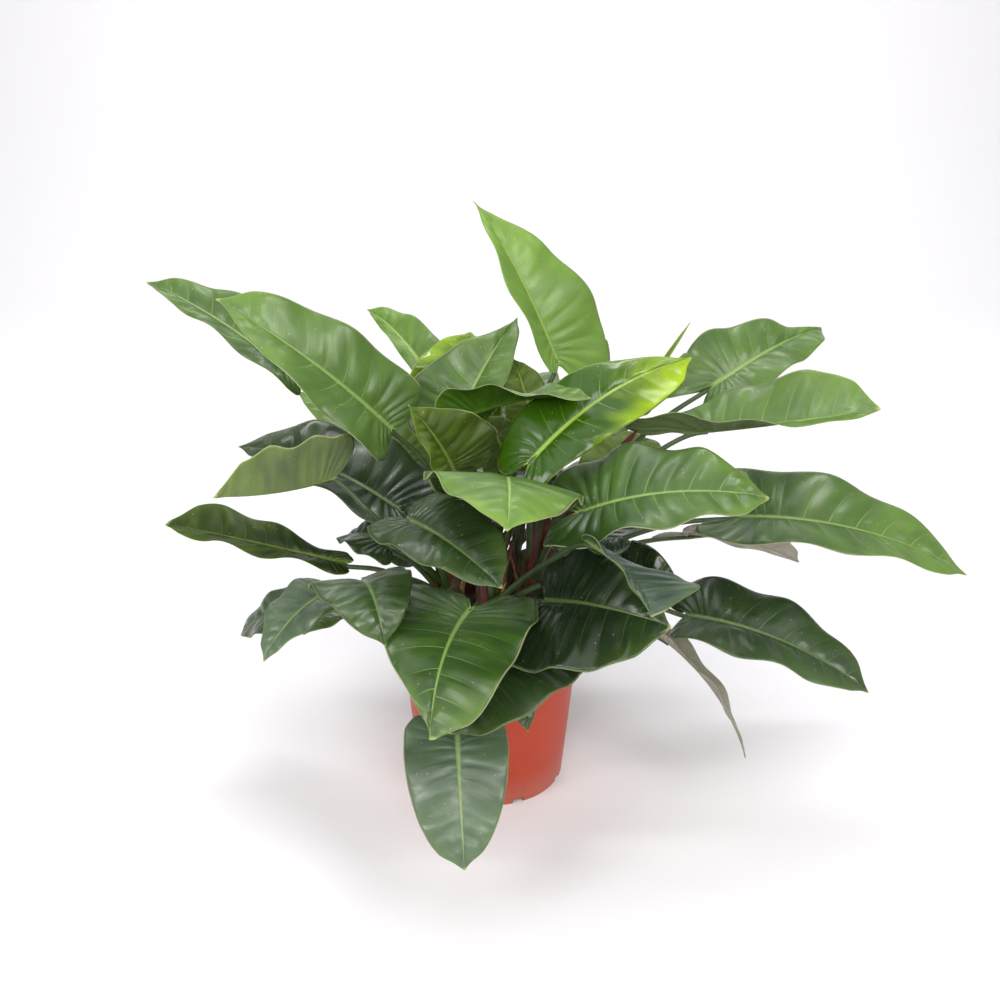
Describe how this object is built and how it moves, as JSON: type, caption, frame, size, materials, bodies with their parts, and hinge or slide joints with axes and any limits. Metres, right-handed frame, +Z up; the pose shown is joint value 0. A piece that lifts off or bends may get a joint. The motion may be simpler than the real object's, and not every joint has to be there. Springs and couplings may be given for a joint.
{
  "type": "potted imperial green philodendron",
  "caption": "Bushy house plant with broad glossy pointed leaves on arching stalks, standing in soil in a tapered terracotta-coloured plastic pot with a rim band and foot notches.",
  "frame": {"origin": "middle of the pot's flat underside", "axes": "+Z up, -Y toward the plant's front, +X to the right as seen from the front, along the plant's widest reach"},
  "size_m": [1.0153, 0.7008, 0.7254],
  "materials": {
    "pot": "satin",
    "soil": "matte",
    "stem": "matte",
    "leaf_dark": "satin",
    "leaf_green": "satin",
    "leaf_bright": "gloss"
  },
  "bodies": {
    "root": {"leaf_01_far_upper_left": "leaf_dark", "leaf_02_upper_left": "leaf_green", "leaf_03_back_left": "leaf_dark", "leaf_04_pale_behind": "leaf_bright", "leaf_05_upper_centre": "leaf_green", "leaf_06_centre_turned": "leaf_green", "leaf_07_tallest": "leaf_green", "leaf_08_bright_centre": "leaf_bright", "leaf_09_upper_right": "leaf_green", "leaf_10_right_boat": "leaf_green", "leaf_11_right_centre": "leaf_green", "leaf_12_far_right": "leaf_green", "leaf_13_right_edge_on": "leaf_dark", "leaf_14_lower_right": "leaf_dark", "leaf_15_hanging_right": "leaf_dark", "leaf_16_pale_folded": "leaf_bright", "leaf_17_front_right": "leaf_dark", "leaf_18_front_large": "leaf_green", "leaf_19_front_left": "leaf_dark", "leaf_20_low_left": "leaf_dark", "leaf_21_lower_left": "leaf_dark", "leaf_22_lower_left_back": "leaf_dark", "leaf_23_lower_left_under": "leaf_dark", "leaf_24_far_left": "leaf_dark", "leaf_25_left_boat": "leaf_green", "leaf_26_left_broad": "leaf_dark", "leaf_29_left_small": "leaf_dark", "leaf_30_hanging_front": "leaf_green", "leaf_31_under_front": "leaf_dark", "leaf_32_small_front": "leaf_dark", "leaf_33_low_right_front": "leaf_dark", "leaf_35_right_under": "leaf_dark", "leaf_36_right_small": "leaf_dark", "leaf_37_centre_hood": "leaf_green", "leaf_38_centre_left": "leaf_bright", "leaf_39_rolled_spike": "leaf_bright", "leaf_40_hidden_centre": "leaf_dark", "leaf_41_under_upper_left": "leaf_dark", "leaf_42_right_of_centre": "leaf_green", "leaf_43_mid_dark": "leaf_dark", "leaf_44_centre_dark": "leaf_dark", "leaf_45_back_low_left": "leaf_dark", "leaf_46_back_low": "leaf_dark", "leaf_47_back_low_right": "leaf_dark", "leaf_48_back_middle_left": "leaf_green", "leaf_49_back_middle": "leaf_green", "leaf_50_back_middle_right": "leaf_green", "leaf_51_back_foot_right": "leaf_dark", "leaf_52_back_foot_left": "leaf_dark", "pot": "pot", "soil": "soil", "stem_back": "stem", "stem_front": "stem", "stem_left": "stem", "stem_right": "stem"}
  },
  "joints": []
}
